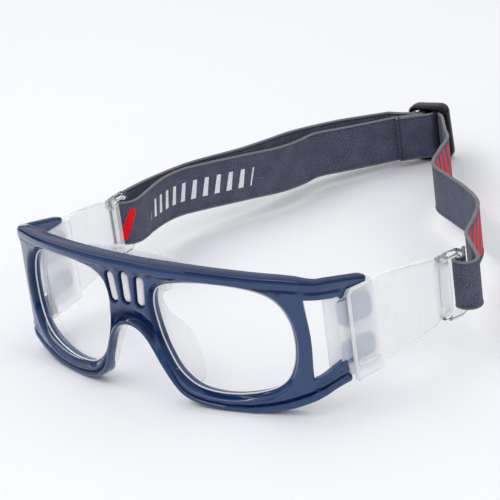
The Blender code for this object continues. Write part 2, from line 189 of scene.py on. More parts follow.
def anticlockwise(loop):
    x, z = loop[:, 0], loop[:, 1]
    area = np.sum(x * np.roll(z, -1) - np.roll(x, -1) * z)
    return loop if area > 0 else loop[::-1]


def line_distance(points, a, b):
    """Distance from each point to the nearest of the segments from a to b."""
    edge = b - a
    squared = np.sum(edge * edge, axis=1) + 1e-12
    result = np.empty(len(points))
    for start in range(0, len(points), 1500):
        p = points[start:start + 1500, None, :] - a[None]
        t = np.clip(np.sum(p * edge, axis=2) / squared, 0.0, 1.0)
        away = p - t[..., None] * edge
        result[start:start + 1500] = np.sqrt(np.min(np.sum(away * away, axis=2), axis=1))
    return result


def loop_distances(points, loops):
    """For each closed loop, the distance from each point to its nearest edge."""
    return np.array([line_distance(points, loop, np.roll(loop, -1, axis=0)) for loop in loops])


def loop_inside(points, loop):
    """Which points lie inside a closed loop."""
    x, z = points[:, 0], points[:, 1]
    result = np.zeros(len(points), bool)
    for (x0, z0), (x1, z1) in zip(np.roll(loop, 1, axis=0), loop):
        if z0 == z1:
            continue
        crosses = (z1 > z) != (z0 > z)
        result ^= crosses & (x < (x0 - x1) * (z - z1) / (z0 - z1) + x1)
    return result


def region_inside(points, loops):
    """Which points lie inside the first loop and outside the others."""
    result = loop_inside(points, loops[0])
    for loop in loops[1:]:
        result &= ~loop_inside(points, loop)
    return result


def blend(value, low, high):
    """0 below low, 1 above high, smooth between."""
    t = np.clip((np.asarray(value, float) - low) / (high - low), 0.0, 1.0)
    return t * t * (3.0 - 2.0 * t)


def rounding(distance, radius):
    """How far a quarter-round edge falls back at a distance from the edge."""
    inward = np.clip(radius - distance, 0.0, radius)
    return radius - np.sqrt(np.maximum(radius * radius - inward * inward, 0.0))


# ---- meshes

def add_object(name, data):
    made = bpy.data.objects.new(name, data)
    bpy.context.scene.collection.objects.link(made)
    return made


def add_mesh(name, points, faces, material, sharp=40.0):
    """A smooth-shaded mesh object from goggle-millimetre points."""
    mesh = bpy.data.meshes.new(name)
    mesh.from_pydata(world(points).reshape(-1, 3).tolist(), [],
                     [tuple(map(int, face)) for face in faces])
    work = bmesh.new()
    work.from_mesh(mesh)
    bmesh.ops.recalc_face_normals(work, faces=work.faces)
    work.to_mesh(mesh)
    work.free()
    mesh.shade_smooth()
    mesh.set_sharp_from_angle(angle=math.radians(sharp))
    mesh.materials.append(material)
    return add_object(name, mesh)


def vertex_uv(piece, name, u, v):
    """UV map that gives each vertex one pair of values."""
    layer = piece.data.uv_layers.new(name=name)
    for corner, loop in enumerate(piece.data.loops):
        layer.data[corner].uv = (u[loop.vertex_index], v[loop.vertex_index])


def belongs(piece, body):
    """The body that a piece moves with."""
    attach(piece, body)


def fine_plate(outline, holes, rings, spacing, edge_step):
    """Triangulated region with vertex rings parallel to every edge.

    rings gives the offsets for each loop. Returns the points, the triangles and the distance
    of every point to every loop.
    """
    loops = [anticlockwise(resample(edge, edge_step, True)) for edge in (outline, *holes)]
    placed = [np.vstack(loops)]
    for index, loop in enumerate(loops):
        inward = 1.0 if index == 0 else -1.0
        for offset in rings[index]:
            moved = offset_loop(loop, offset * inward)
            near = loop_distances(moved, loops).min(axis=0)
            placed.append(moved[near > 0.94 * offset])
    low, high = loops[0].min(0), loops[0].max(0)
    rows = np.arange(low[1], high[1], spacing)
    grid = np.array([(s + 0.5 * spacing * (i % 2), z) for i, z in enumerate(rows)
                     for s in np.arange(low[0], high[0], spacing)])
    limits = np.array([max(r) + 0.5 * spacing for r in rings])
    placed.append(grid[np.all(loop_distances(grid, loops) > limits[:, None], axis=0)])
    points = np.vstack(placed)
    solid = region_inside(points, loops)
    solid[:len(placed[0])] = True
    points = points[solid]
    edges, start = [], 0
    for loop in loops:
        n = len(loop)
        edges += [(start + i, start + (i + 1) % n) for i in range(n)]
        start += n
    meshed = delaunay_2d_cdt([Vector(p) for p in points], edges, [], 0, 1e-6)
    flat, triangles = (np.array([tuple(row) for row in meshed[k]]) for k in (0, 2))
    middle = flat[triangles].mean(axis=1)
    # a sliver along a nearly straight edge belongs to the plate
    keep = region_inside(middle, loops) | (loop_distances(middle, loops).min(axis=0) < 0.0004)
    return flat, triangles[keep], loop_distances(flat, loops)


def close_plate(front, back, triangles):
    """Points and faces of the closed solid between a front and a back surface."""
    n = len(front)
    faces = [tuple(t) for t in triangles] + [tuple(t[::-1] + n) for t in triangles]
    directed = {(t[i], t[(i + 1) % 3]) for t in triangles for i in range(3)}
    faces += [(b, a, a + n, b + n) for a, b in directed if (b, a) not in directed]
    return np.vstack([front, back]), faces


def plate_piece(name, outline, rings, spacing, edge_step, depths, material, sign=1.0):
    """Closed plate along the frame's path; depths(s, z, edge) gives its front and back."""
    flat, triangles, distances = fine_plate(outline, [], [rings], spacing, edge_step)
    s, z = flat[:, 0], flat[:, 1]
    front, back = depths(s, z, distances[0])
    points, faces = close_plate(on_frame(s * sign, front, z), on_frame(s * sign, back, z),
                                triangles)
    return add_mesh(name, points, faces, material)


def tube_piece(name, points, closed_path, material, sharp=40.0):
    """Tube through an array of rings of points; an open tube is capped."""
    rings, size = points.shape[:2]
    faces = []
    for i in range(rings if closed_path else rings - 1):
        j = (i + 1) % rings
        for k in range(size):
            m = (k + 1) % size
            faces.append((i * size + k, i * size + m, j * size + m, j * size + k))
    if not closed_path:
        faces.append(tuple(reversed(range(size))))
        faces.append(tuple(range((rings - 1) * size, rings * size)))
    return add_mesh(name, points, faces, material, sharp)


# ---- materials

def new_material(name):
    """A material, with its node tree and its Principled shader."""
    made = bpy.data.materials.new(name)
    made.use_nodes = True
    tree = made.node_tree
    return made, tree, tree.nodes["Principled BSDF"]


def feed(tree, made, values):
    """Set a node's inputs, each to a value or to the output of another node."""
    for key, value in values.items():
        if isinstance(value, bpy.types.NodeSocket):
            tree.links.new(value, made.inputs[key])
        else:
            made.inputs[key].default_value = value


def node(tree, kind, values=None, **settings):
    """A shader node; kind is Blender's name without ShaderNode in front."""
    made = tree.nodes.new("ShaderNode" + kind)
    for key, value in settings.items():
        setattr(made, key, value)
    feed(tree, made, values or {})
    return made


def maths(tree, operation, a, b=0.0):
    return node(tree, "Math", {0: a, 1: b}, operation=operation).outputs[0]


def weighted_sum(tree, *terms):
    """Sum of (value, weight) pairs."""
    total = None
    for value, weight in terms:
        part = maths(tree, "MULTIPLY", value, weight)
        total = maths(tree, "ADD", total, part) if total else part
    return total


def remap(tree, value, low, high, to_low=0.0, to_high=1.0):
    return node(tree, "MapRange", {"Value": value, "From Min": low, "From Max": high,
                                   "To Min": to_low, "To Max": to_high}).outputs["Result"]


def mixed(tree, factor, first, second):
    return node(tree, "Mix", {"Factor": factor, 6: first, 7: second},
                data_type="RGBA").outputs[2]


def noise(tree, vector, scale, detail, roughness=0.5):
    return node(tree, "TexNoise", {"Vector": vector, "Scale": scale, "Detail": detail,
                                   "Roughness": roughness}).outputs["Fac"]


def object_noise(tree, scale, detail=3.0):
    """Noise fixed to the piece; scale is in cells per metre."""
    return noise(tree, node(tree, "TexCoord").outputs["Object"], scale, detail, 0.55)


def ramp(tree, factor, low, high, colour_low, colour_high):
    made = node(tree, "ValToRGB", {"Fac": factor})
    first, last = made.color_ramp.elements
    first.position, last.position = low, high
    first.color, last.color = (*colour_low, 1.0), (*colour_high, 1.0)
    return made.outputs["Color"]


def wave(tree, value, period):
    return maths(tree, "SINE", maths(tree, "MULTIPLY", value, math.tau / period))


def bump(tree, height, strength, distance):
    return node(tree, "Bump", {"Height": height, "Strength": strength,
                               "Distance": distance}).outputs["Normal"]


def uv_split(tree, name):
    """The two coordinates of a UV map."""
    split = node(tree, "SeparateXYZ", {"Vector": node(tree, "UVMap", uv_map=name).outputs["UV"]})
    return split.outputs["X"], split.outputs["Y"]


def moulded_finish(tree, shader, colour, roughness, specular, coat):
    """Slightly uneven gloss and a fine orange peel under a clear coat."""
    feed(tree, shader, {"Base Color": colour,
                        "Roughness": remap(tree, object_noise(tree, 420.0), 0.3, 0.7, *roughness),
                        "Normal": bump(tree, object_noise(tree, 900.0, 2.0), 0.06, 0.00005),
                        "Specular IOR Level": specular, "Coat Weight": coat,
                        "Coat Roughness": 0.04})


def plastic_material(name, dark, light, roughness, specular=0.55, coat=0.4):
    """Glossy moulded plastic with a faint colour drift."""
    made, tree, shader = new_material(name)
    colour = ramp(tree, object_noise(tree, 60.0), 0.35, 0.68, dark, light)
    moulded_finish(tree, shader, colour, roughness, specular, coat)
    return made


def frame_material(name, dark, light, shadow):
    """Glossy moulded plastic with painted shade: where the mask marks grooves and recesses it takes
    the shadow colour and loses its coat's shine.
    """
    made, tree, shader = new_material(name)
    hollow = uv_split(tree, "hollow")[0]
    colour = ramp(tree, object_noise(tree, 60.0), 0.35, 0.68, dark, light)
    moulded_finish(tree, shader, mixed(tree, hollow, colour, (*shadow, 1.0)), (0.04, 0.08), 0.12,
                   maths(tree, "SUBTRACT", 1.0, hollow))
    return made


def lens_material():
    """Clear hard-coated lens: see-through, with only its surface reflection."""
    made, tree, shader = new_material("clear_lens")
    facing = node(tree, "LayerWeight", {"Blend": 0.5}).outputs["Facing"]
    reflection = maths(tree, "POWER", facing, 5.0)
    tint = ramp(tree, object_noise(tree, 25.0), 0.3, 0.7, (0.96, 0.97, 1.0), (1.0, 1.0, 1.0))
    alpha = weighted_sum(tree, (reflection, 0.8), (object_noise(tree, 30.0), 0.05))
    feed(tree, shader, {"Alpha": alpha, "Base Color": tint, "Metallic": 1.0, "Roughness": 0.03})
    return made


def frosted_material(name, colour_low, colour_high, roughness, alpha, glow):
    """Thin frosted plastic or silicone: a white film that lets light through."""
    made, tree, shader = new_material(name)
    facing = node(tree, "LayerWeight", {"Blend": 0.35}).outputs["Facing"]
    feed(tree, shader, {
        "Base Color": ramp(tree, object_noise(tree, 90.0), 0.3, 0.7, colour_low, colour_high),
        "Roughness": remap(tree, object_noise(tree, 1500.0), 0.3, 0.7,
                           roughness - 0.06, roughness + 0.08),
        "Alpha": remap(tree, facing, 0.0, 1.0, alpha, min(alpha + 0.35, 1.0)),
        "Normal": bump(tree, object_noise(tree, 2600.0, 2.0), 0.10, 0.00005),
        "Specular IOR Level": 0.5, "Subsurface Weight": glow,
        "Subsurface Radius": (1.0, 1.0, 1.0), "Subsurface Scale": 0.003})
    return made


def clear_material():
    """Clear hard plastic rod."""
    made, tree, shader = new_material("clear_rod")
    tint = ramp(tree, object_noise(tree, 200.0), 0.3, 0.7,
                (0.93, 0.95, 0.97), (1.0, 1.0, 1.0))
    wear = ramp(tree, object_noise(tree, 700.0), 0.45, 0.75,
                (0.02, 0.02, 0.02), (0.10, 0.10, 0.10))
    feed(tree, shader, {"Base Color": tint, "Roughness": wear, "Transmission Weight": 1.0,
                        "IOR": 1.49})
    return made


def webbing_material(name, prints=()):
    """Knitted elastic band. The UV map holds (millimetres along, millimetres across)."""
    made, tree, shader = new_material(name)
    uv = node(tree, "UVMap", uv_map="band").outputs["UV"]
    along, across = uv_split(tree, "band")
    printed_face = uv_split(tree, "face")[0]
    # knit: small slanted loops
    zig = maths(tree, "PINGPONG", across, COURSE)
    slant = weighted_sum(tree, (along, 1.0), (zig, 0.7))
    knit = weighted_sum(tree, (wave(tree, slant, WALE), 0.25), (wave(tree, across, COURSE), 0.25))
    stretched = node(tree, "VectorMath", {0: uv, 1: (0.8, 2.2, 1.0)},
                     operation="MULTIPLY").outputs[0]
    fibre = noise(tree, stretched, 1.6, 4.0, 0.7)
    heather = noise(tree, uv, 0.16, 2.0)
    fleck = noise(tree, uv, 2.3, 1.0, 0.9)
    tone = weighted_sum(tree, (fibre, 0.70), (knit, 0.13), (fleck, 0.75), (heather, 0.20))
    colour = ramp(tree, tone, 0.62, 1.00, (0.014, 0.015, 0.030), (0.150, 0.154, 0.235))
    # rolled edges: paler grey yarn, ribbed across
    edge = remap(tree, maths(tree, "ABSOLUTE", across), STRAP_WIDTH / 2 - 0.8,
                 STRAP_WIDTH / 2 - 0.5)
    rib = weighted_sum(tree, (wave(tree, along, RIB), 0.22), (fibre, 1.0))
    rib_colour = ramp(tree, rib, 0.2, 0.9, (0.10, 0.10, 0.115), (0.30, 0.30, 0.315))
    colour = mixed(tree, edge, colour, rib_colour)
    for mask_maker, tint in prints:
        mask = maths(tree, "MULTIPLY", mask_maker(tree, along, across, fibre), printed_face)
        colour = mixed(tree, mask, colour, (*tint, 1.0))
    height = weighted_sum(tree, (knit, 1.0), (fibre, 0.9))
    feed(tree, shader, {"Base Color": colour, "Roughness": 0.88, "Sheen Weight": 0.07,
                        "Sheen Roughness": 0.45, "Specular IOR Level": 0.25,
                        "Normal": bump(tree, height, 0.75, 0.00022)})
    return made


def between(tree, value, low, high):
    """1 where low < value < high."""
    return maths(tree, "MULTIPLY", maths(tree, "GREATER_THAN", value, low),
                 maths(tree, "LESS_THAN", value, high))


def slanted_bars(start, end, pitch, share, slope, low, high):
    """Mask of slanted printed bars between two distances along the band."""
    def mask(tree, along, across, fibre):
        leaned = weighted_sum(tree, (along, 1.0), (across, slope), (fibre, 0.5))
        turn = maths(tree, "FRACT", maths(tree, "DIVIDE", leaned, pitch))
        taper = remap(tree, across, -STRAP_WIDTH / 2, STRAP_WIDTH / 2, share * 1.35, share * 0.65)
        bars = maths(tree, "LESS_THAN", turn, taper)
        window = maths(tree, "MULTIPLY", between(tree, leaned, start, end),
                       between(tree, across, low, high))
        return maths(tree, "MULTIPLY", bars, window)
    return mask


# ---- frame

LENS_OPENING = [(9.9, 35.0), (13.6, 40.6), (26.0, 42.9), (42.0, 42.5), (54.2, 39.0),
                (60.0, 30.0), (59.7, 17.5), (54.0, 9.2), (40.0, 5.3), (26.0, 5.8),
                (17.9, 10.4), (13.6, 17.6), (10.9, 25.6)]
TOP_EDGE = [(0.0, 48.4), (20.0, 48.2), (38.0, 47.4), (50.5, 46.6), (63.0, 45.95),
            (72.5, 44.3), (81.0, 42.5), (87.6, 41.0)]
ARM_TIP = [(89.6, 40.4), (90.5, 39.5), (90.3, 38.6), (89.5, 38.1)]
UPPER_STEP = [(89.2, 37.7), (81.2, 37.5), (80.8, 35.9), (79.3, 35.5), (78.8, 36.7)]
WINDOW_EDGE = [(76.0, 36.9), (70.0, 38.2), (66.0, 38.8), (65.2, 38.0), (66.4, 26.0),
               (65.9, 13.2), (66.8, 12.4), (71.0, 13.4), (76.4, 14.8)]
LOWER_END = [(78.6, 15.3), (79.2, 14.6), (79.6, 12.0), (80.3, 9.4), (80.2, 8.0)]
LOWER_EDGE = [(80.0, 7.5), (72.0, 6.8), (65.0, 4.6), (58.0, 2.2), (51.0, 0.7)]
FOOT = [(44.0, 0.0), (34.0, 0.0)]
NOSE_EDGE = [(28.0, 0.5), (22.0, 1.8), (17.4, 4.2), (14.0, 8.4), (11.2, 13.8),
             (9.3, 18.2), (7.0, 22.0), (3.9, 24.7)]
NOSE_TOP = 25.7
LENS_AT = 2.4
LENS_THICKNESS = 1.8
BEVEL_RADIUS = 0.26
VENT_HALF_WIDTH = 1.95
VENTS = [((-6.6, 41.4), (-5.9, 34.4)), ((0.0, 42.2), (0.0, 34.8)), ((6.6, 41.4), (5.9, 34.4))]

RIM_RINGS = (0.08, 0.5, 0.9, 1.2, 1.45, 1.8, 2.2, 2.6)
OUTER_RINGS = (0.08, 0.3, 0.62, 1.0, 1.4, 1.8, 2.2, 2.5, 2.7, 2.9, 3.1, 3.35, 3.6, 3.9, 4.3,
               4.8, 5.3)
VENT_RINGS = (0.06, 0.2, 0.45, 0.8)


def mirrored(outline):
    return [(-s, z) for s, z in reversed(outline)]


def slot(top, bottom, radius, steps=8):
    top, bottom = np.array(top), np.array(bottom)
    axis = (top - bottom) / np.linalg.norm(top - bottom)
    across = np.array([axis[1], -axis[0]])
    return [tuple(end + (across * math.cos(a) + axis * math.sin(a)) * radius * direction)
            for end, direction in ((top, 1.0), (bottom, -1.0))
            for a in np.linspace(0.0, math.pi, steps + 1)]


def lower_edge():
    """Lower border of the right half, from the end of the lower arm to the nose arch."""
    arch = smooth_curve(NOSE_EDGE + [(0.0, NOSE_TOP), (-3.9, 24.7)], 6)
    return list(smooth_curve(LOWER_EDGE, 6)) + FOOT + list(arch[:6 * len(NOSE_EDGE)])


def frame_outline():
    right = list(smooth_curve(TOP_EDGE, 6)[1:]) + ARM_TIP + UPPER_STEP
    right += list(smooth_curve(WINDOW_EDGE, 4)) + LOWER_END + lower_edge()
    return [TOP_EDGE[0]] + right + [(0.0, NOSE_TOP)] + mirrored(right)


def below_brow(s, z):
    """Distance from the frame's upper edge."""
    edge = np.vstack([[(-3.0, 48.4)], smooth_curve(TOP_EDGE + ARM_TIP[:2], 6)])
    return line_distance(np.stack([np.abs(s), z], axis=1), edge[:-1], edge[1:])


def above_lower(s, z):
    """Distance from the frame's lower edge, nose arch included."""
    line = np.array(lower_edge() + [(0.0, NOSE_TOP)])
    return line_distance(np.stack([np.abs(s), z], axis=1), line[:-1], line[1:])


def nose_chamfer(s, z):
    """How much thinner the frame's back is near the nose arch."""
    near = 1.0 - blend(above_lower(s, z), 0.6, 4.2)
    return 2.6 * near * blend(z, 3.0, 12.0) * (1.0 - blend(np.abs(s), 18.0, 26.0))


def frame_surfaces(flat, distances):
    """Depths of the front and back at every point of the frame, and the painted shade on the front.
    """
    s, z = flat[:, 0], flat[:, 1]
    aside = np.abs(s)
    outer = distances[0]
    rim = np.minimum(distances[1], distances[2])
    vents = np.min(distances[3:], axis=0)
    drop = below_brow(s, z)
    # bevelled seat round each lens, less under the brow bar
    front = np.interp(rim, (0.0, 0.08, 0.5, 0.9, 1.2, 1.45, 1.8, 2.2),
                      (2.5, 2.3, 1.55, 0.85, 0.38, 0.14, 0.02, 0.0))
    front = front * blend(drop, 3.0, 4.6) + rounding(outer, 1.0) + rounding(vents, 0.7)
    # fine groove along the lower edge, and the scoop with its lip over the nose arch
    low = above_lower(s, z)
    nose = blend(z, 5.0, 21.0) * (1.0 - blend(aside, 18.0, 26.0))
    near_edge = low + 1.1 * (1.0 - blend(aside, 34.0, 60.0))
    groove = np.interp(near_edge, (2.4, 2.7, 3.0, 3.2, 3.5, 3.8), (0.0, 0.5, 0.85, 0.85, 0.4, 0.0))
    scoop = np.interp(low, (0.0, 0.8, 1.3, 1.9, 2.6, 3.6, 4.6, 5.2, 5.8),
                      (-1.3, -1.35, -0.8, 0.5, 1.2, 1.5, 1.2, 0.7, 0.0))
    crown = 0.28 * np.sin(math.pi * np.clip(near_edge / 2.6, 0.0, 1.0)) * (1.0 - nose)
    ridge = 0.22 * np.sin(math.pi * np.clip((near_edge - 3.6) / 1.6, 0.0, 1.0)) * (1.0 - nose)
    front += (groove * (1.0 - nose) + scoop * nose - crown - ridge) * blend(rim, 0.9, 1.5)
    # brow bar: convex, with a fine groove under its upper edge, flatter round the corner
    bar = np.interp(drop, (0.0, 0.3, 0.62, 1.0, 1.4, 2.2, 3.0, 3.5, 4.0, 4.5, 5.3),
                    (-0.25, -0.45, -0.25, -0.70, -0.90, -1.0, -1.05, -0.75, -0.35, -0.25, 0.0))
    front += bar * (1.0 - 0.6 * blend(aside, 20.0, 64.0))
    turn = blend(aside, 50.0, 75.0)
    depth = FACE_DEPTH + (ARM_DEPTH - FACE_DEPTH) * turn
    depth += 0.6 * turn * (1.0 - blend(drop, 3.6, 5.6))
    depth -= nose_chamfer(s, z)
    back = depth - rounding(np.minimum(outer, vents), 0.8) - rounding(rim, 0.6)
    # painted shade, a darker colour without coat shine: the brow's grooves, under the bar, the
    # lower groove, the scoop, seats and slots
    middle = blend(z, 15.0, 20.0) * (1.0 - blend(aside, 8.6, 10.6))
    hollow = np.max([np.interp(drop, (0.08, 0.3, 0.6, 0.9, 1.3, 3.2, 3.6, 4.3, 4.8),
                               (0.8, 0.1, 0.9, 0.8, 0.0, 0.0, 0.9, 0.9, 0.0)),
                     (1.0 - nose) * np.interp(near_edge, (2.4, 2.8, 3.4, 3.7),
                                              (0.0, 0.95, 0.95, 0.0)),
                     middle * np.interp(low, (1.1, 1.6, 5.0, 5.6), (0.0, 1.0, 1.0, 0.0)),
                     np.interp(rim, (0.0, 0.3, 0.8, 1.2), (0.3, 0.85, 0.7, 0.0)),
                     np.interp(vents, (0.0, 0.2, 0.45), (0.9, 0.8, 0.0))], axis=0)
    return front, np.maximum(back, front + 0.4), hollow


def build_frame(material):
    """The moulded frame. Returns the outline of its right lens opening."""
    opening = smooth_curve(LENS_OPENING, 8, closed=True)
    holes = [opening, mirrored(opening)]
    holes += [slot(top, bottom, VENT_HALF_WIDTH) for top, bottom in VENTS]
    rings = [OUTER_RINGS, RIM_RINGS, RIM_RINGS] + [VENT_RINGS] * 3
    flat, triangles, distances = fine_plate(frame_outline(), holes, rings, 1.3, 0.7)
    s, z = flat[:, 0], flat[:, 1]
    front, back, hollow = frame_surfaces(flat, distances)
    points, faces = close_plate(on_frame(s, front, z), on_frame(s, back, z), triangles)
    piece = add_mesh("frame_shell", points, faces, material, 50.0)
    # painted shade on the face on top of the brow bar, up to its front edge: a darker colour and no
    # coat shine
    painted_shade_top = 0.8 * (1.0 - blend(below_brow(s, z), 0.1, 1.0))
    vertex_uv(piece, "hollow", np.concatenate([hollow, painted_shade_top]), np.zeros(len(points)))
    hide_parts("front_frame")
    belongs(piece, "frame")
    return opening


def build_lens(side, outline, material, edge_material):
    """Thin curved lens whose edge sits in the rim's seat, and its polished bevel, whose opaque pale
    grey is a painted glint of light in the clear edge.
    """
    outline = anticlockwise(resample(outline, 0.8, True))
    turn = circle(10)
    ring = np.stack([offset_loop(outline, 0.22 + BEVEL_RADIUS * math.cos(a)) for a in turn],
                    axis=1)
    depth = LENS_AT - 0.02 + BEVEL_RADIUS * np.sin(turn)
    bevel = tube_piece("lens_bevel_" + side, on_frame(ring[..., 0], depth, ring[..., 1]), True,
                       edge_material)
    belongs(bevel, "frame")
    piece = plate_piece("lens_sheet_" + side, offset_loop(outline, -0.5), (0.3, 1.0), 3.0, 1.2,
                        lambda s, z, edge: (LENS_AT + rounding(edge, 0.3),
                                            LENS_AT + LENS_THICKNESS - rounding(edge, 0.3)),
                        material)
    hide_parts("lens_" + side)
    belongs(piece, "frame")


# ---- clip details

LUG_PLATE = [(79.9, 9.6), (80.8, 8.6), (90.6, 8.6), (91.6, 9.6), (91.6, 36.4), (90.6, 37.2),
             (81.0, 37.2), (79.9, 36.0)]
LUGS = [(78.7, 91.5, 25.8, 34.8), (78.7, 91.5, 13.3, 20.6)]
CLIP_WINDOW = [(76.4, 15.6), (81.3, 15.6), (81.3, 35.0), (76.4, 35.2)]


def rounded_box(box, radius, steps=7):
    """Outline of a rectangle (s0, s1, z0, z1) with rounded corners."""
    s0, s1, z0, z1 = box
    corners = ((s1 - radius, z1 - radius), (s0 + radius, z1 - radius),
               (s0 + radius, z0 + radius), (s1 - radius, z0 + radius))
    return [(s + radius * math.cos(a), z + radius * math.sin(a))
            for k, (s, z) in enumerate(corners)
            for a in np.linspace(math.pi / 2 * k, math.pi / 2 * (k + 1), steps)]


def dished(s, z, edge):
    """Front and back of a lug: rounded at its edge, sunk in its middle."""
    sunk = rounding(edge, 0.7) + 0.5 * blend(edge, 1.1, 1.9)
    return 0.15 + sunk, 2.95 - sunk


def build_lugs(side, sign, material, web_material):
    """The end of the frame's arm inside the clip: two dished lugs on a thin web."""
    web = plate_piece("arm_web_" + side, LUG_PLATE, (0.3,), 1.4, 0.9,
                      lambda s, z, edge: (1.35 + rounding(edge, 0.3), 1.85 - rounding(edge, 0.3)),
                      web_material, sign)
    belongs(web, "frame")
    for k, box in enumerate(LUGS):
        lug = plate_piece("arm_lug_" + side + "_" + str(k + 1), rounded_box(box, 2.2),
                          (0.08, 0.25, 0.5, 0.9, 1.5, 1.9), 0.8, 0.5, dished, material, sign)
        belongs(lug, "frame")


def rod_along(name, path, radius, material, body, sides=12):
    """Round rod through (s, depth, z) points."""
    path = resample(path, radius * 0.7)
    tangent = unit(np.gradient(path, axis=0))
    across = unit(np.cross(tangent, (0.0, 1.0, 0.0)))
    third = np.cross(across, tangent)
    ends = np.minimum(np.arange(len(path)), np.arange(len(path))[::-1]) * 0.7
    swell = radius * np.sqrt(np.clip(1.0 - (1.0 - np.minimum(ends, 1.0)) ** 2, 0.08, 1.0))
    turn = circle(sides)[None, :, None]
    ring = path[:, None] + swell[:, None, None] * (across[:, None] * np.cos(turn)
                                                   + third[:, None] * np.sin(turn))
    piece = tube_piece(name, on_frame(*np.moveaxis(ring, -1, 0)), False, material)
    belongs(piece, body)


def quarter_turn(centre, radius, start, count):
    """Points on a quarter circle that turns clockwise from a start angle in degrees."""
    return [(centre[0] + radius * math.cos(a), centre[1] + radius * math.sin(a))
            for a in np.radians(np.linspace(start, start - 90.0, count))]


def build_clip_rims(side, sign, material, film_material):
    """Rounded bead round the clip's outer wall, the rib on it, and the film over its window. The
    bead models the rounded edge, and its more opaque white is a painted highlight along it.
    """
    path = quarter_turn((82.2, 8.8), 1.2, 270.0, 6) + quarter_turn((83.1, 36.0), 2.2, 180.0, 8)
    path = [(s * sign, -1.35, z) for s, z in path + [(90.4, 38.3)]]
    rod_along("clip_rim_" + side, path, 0.62, material, "frame")
    rib = [(s * sign, -1.75, 13.0) for s in (81.6, 85.0, 91.4)]
    rod_along("clip_rib_" + side, rib, 0.42, material, "frame")
    skin = plate_piece("clip_skin_" + side, CLIP_WINDOW, (0.15,), 2.0, 1.0,
                       lambda s, z, edge: (-0.25, 0.0), film_material, sign)
    belongs(skin, "frame")


# ---- nose and brow pad

PAD_RIGHT = [(9.0, 50.0), (18.0, 48.8), (25.5, 46.8), (26.0, 45.0), (17.0, 44.6), (13.6, 42.2),
             (15.4, 39.8), (14.4, 37.4), (10.6, 35.4), (10.8, 29.0), (15.0, 22.0), (20.0, 13.0),
             (22.0, 7.4), (20.6, 4.9), (17.8, 6.2), (15.2, 9.8), (12.3, 14.0), (9.8, 18.6),
             (7.0, 22.9), (4.0, 26.0)]
PAD_TOP = 50.5
PAD_ARCH = 27.1
PAD_THICKNESS = 1.9


def pad_depths(s, z, edge):
    """The pad follows the frame's back, and flares away from it at the foot of each nose pad."""
    low = 1.0 - blend(z, 18.0, 34.0)
    spread = np.clip((np.abs(s) - 20.5 + 0.54 * z) / 6.4, 0.0, 1.0)
    chamfer = nose_chamfer(s, z)
    depth = FACE_DEPTH + 0.3 + (1.9 + 0.2 * z) * low * spread - chamfer
    edge = rounding(edge, 0.9)
    return depth + edge, depth + PAD_THICKNESS + 0.6 * chamfer - edge * 0.9


def build_pad(material, plug_material):
    """Silicone pad from the brow to the nose, and its plug in each vent slot."""
    right = list(smooth_curve(PAD_RIGHT, 6))
    outline = [(0.0, PAD_TOP)] + right + [(0.0, PAD_ARCH)] + mirrored(right)
    piece = plate_piece("silicone_nose_pad", outline, (0.08, 0.25, 0.5, 0.9), 1.6, 0.8,
                        pad_depths, material)
    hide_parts("nose_bridge_pad")
    belongs(piece, "frame")
    for k, (top, bottom) in enumerate(VENTS):
        plug = plate_piece("vent_plug_" + str(k + 1), slot(top, bottom, VENT_HALF_WIDTH - 0.12),
                           (0.08, 0.3, 0.6, 1.0), 0.8, 0.4,
                           lambda s, z, edge: (0.55 + rounding(edge, 1.1), FACE_DEPTH + 0.6),
                           plug_material)
        belongs(plug, "frame")


# ---- temples

TEMPLE_TOP = [(60.0, 38.0), (92.0, 38.6), (107.0, 37.1), (115.0, 36.0), (119.5, 35.0),
              (122.0, 32.6), (130.0, 32.2)]
TEMPLE_BOTTOM = [(60.0, 7.4), (90.0, 7.9), (103.0, 10.7), (112.0, 11.8), (118.0, 12.6),
                 (121.5, 15.2), (130.0, 15.4)]
TEMPLE_ROWS = (0.06, 0.18, 0.34, 0.5, 0.66, 0.82, 0.94)
BEND_SPAN = (92.0, 103.0)


